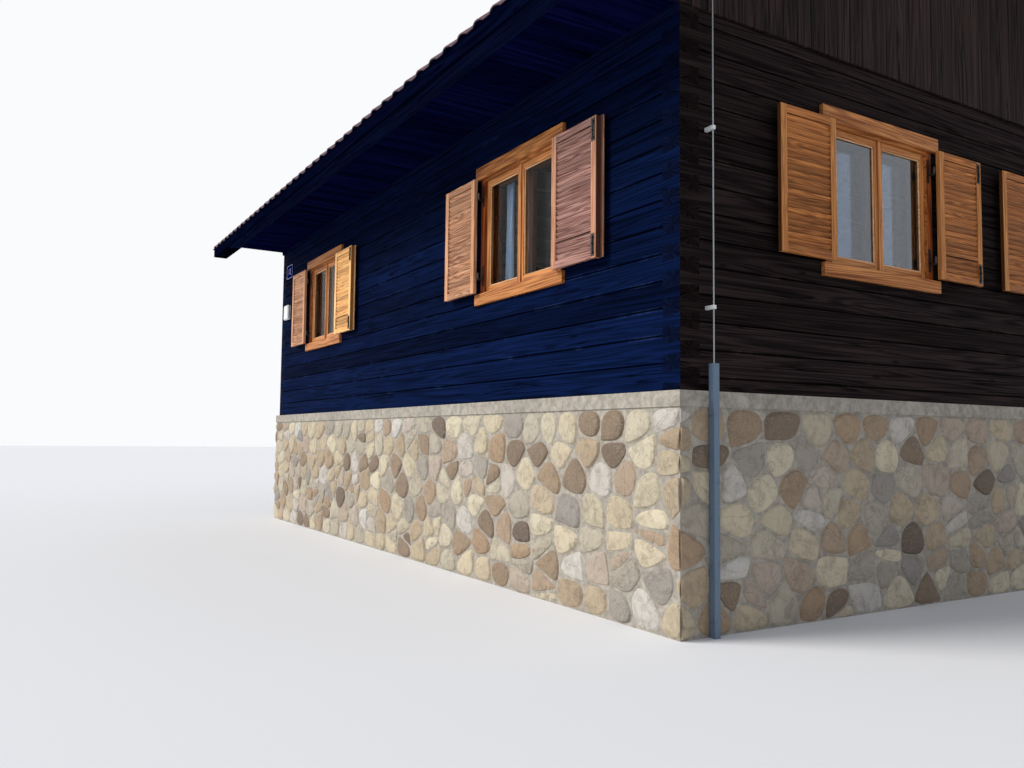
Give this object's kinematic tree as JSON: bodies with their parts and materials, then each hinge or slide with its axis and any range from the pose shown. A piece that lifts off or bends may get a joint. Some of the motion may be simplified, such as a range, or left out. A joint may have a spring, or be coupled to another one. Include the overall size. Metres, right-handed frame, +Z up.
{
  "type": "alpine chalet",
  "caption": "Single-storey squared-log chalet on a rubble-stone plinth, with a steep tiled roof, wide boxed eaves and hinged louvred window shutters.",
  "frame": {"origin": "on the ground, under the middle of the house", "axes": "+X along the long eaves wall towards the gable with the earthing rod, -Y out of the front eaves wall, +Z up"},
  "size_m": [10.38, 8.34, 7.8507],
  "materials": {
    "rubble_stone": "rough rubble in light mortar",
    "mortar": "rough trowelled mortar",
    "floor_wood": "planed boards",
    "dark_logs": "blue-black stain, weathered",
    "brown_logs": "dark brown stain, weathered",
    "brown_boards": "dark brown stain",
    "roof_timber": "sawn, stained dark",
    "roof_tiles": "matt fired clay",
    "dark_boards": "blue-black stain",
    "golden_wood": "satin golden glaze",
    "window_glass": "clear",
    "shutter_wood": "satin red-brown glaze",
    "black_iron": "black paint",
    "zinc_steel": "galvanised",
    "painted_guard": "blue-grey paint",
    "white_plastic": "matt",
    "blue_enamel": "glossy enamel",
    "curtain_fabric": "sheer weave"
  },
  "bodies": {
    "house": {"stone_plinth": "rubble_stone", "plinth_band": "mortar", "floor_planks": "floor_wood", "front_log_wall": "dark_logs", "back_log_wall": "dark_logs", "left_log_wall": "brown_logs", "right_log_wall": "brown_logs", "gable_boarding": "brown_boards", "tie_beams": "roof_timber", "rafters": "roof_timber", "purlins": "roof_timber", "roof_boards": "roof_timber", "roof_covering_front": "roof_tiles", "roof_covering_back": "roof_tiles", "ridge_cap": "roof_tiles", "soffits": "dark_boards", "soffit_trims": "dark_boards", "fascias": "dark_boards", "bargeboards": "dark_boards", "front_window_frames": "golden_wood", "front_sashes": "golden_wood", "front_glass": "window_glass", "right_window_frames": "golden_wood", "right_sashes": "golden_wood", "right_glass": "window_glass", "left_window_frames": "golden_wood", "left_sashes": "golden_wood", "left_glass": "window_glass", "back_window_frames": "golden_wood", "back_sashes": "golden_wood", "back_glass": "window_glass", "shutter_pintles": "black_iron", "fixed_shutters": "shutter_wood", "fixed_shutter_irons": "black_iron", "earthing_rod": "zinc_steel", "rod_guard": "painted_guard", "rod_clips": "white_plastic", "number_plate": "blue_enamel", "wall_box": "white_plastic", "curtains": "curtain_fabric", "curtain_rods": "golden_wood"},
    "near_left_leaf": {"shutter_near_left": "shutter_wood", "irons_near_left": "black_iron"},
    "near_right_leaf": {"shutter_near_right": "shutter_wood", "irons_near_right": "black_iron"},
    "far_left_leaf": {"shutter_far_left": "shutter_wood", "irons_far_left": "black_iron"},
    "far_right_leaf": {"shutter_far_right": "shutter_wood", "irons_far_right": "black_iron"},
    "gable_left_leaf": {"shutter_gable_left": "shutter_wood", "irons_gable_left": "black_iron"},
    "gable_right_leaf": {"shutter_gable_right": "shutter_wood", "irons_gable_right": "black_iron"}
  },
  "joints": [
    {"name": "near_left_hinge", "type": "hinge", "parent": "house", "child": "near_left_leaf", "pos_m": [1.815, -3.346, 2.96], "axis": [0, 0, 1], "range_deg": [0, 180]},
    {"name": "near_right_hinge", "type": "hinge", "parent": "house", "child": "near_right_leaf", "pos_m": [2.985, -3.346, 2.96], "axis": [0, 0, 1], "range_deg": [-180, 0]},
    {"name": "far_left_hinge", "type": "hinge", "parent": "house", "child": "far_left_leaf", "pos_m": [-2.985, -3.346, 2.96], "axis": [0, 0, 1], "range_deg": [0, 180]},
    {"name": "far_right_hinge", "type": "hinge", "parent": "house", "child": "far_right_leaf", "pos_m": [-1.815, -3.346, 2.96], "axis": [0, 0, 1], "range_deg": [-180, 0]},
    {"name": "gable_left_hinge", "type": "hinge", "parent": "house", "child": "gable_left_leaf", "pos_m": [4.366, -1.905, 2.96], "axis": [0, 0, 1], "range_deg": [0, 180]},
    {"name": "gable_right_hinge", "type": "hinge", "parent": "house", "child": "gable_right_leaf", "pos_m": [4.366, -0.735, 2.96], "axis": [0, 0, 1], "range_deg": [-180, 0]}
  ]
}
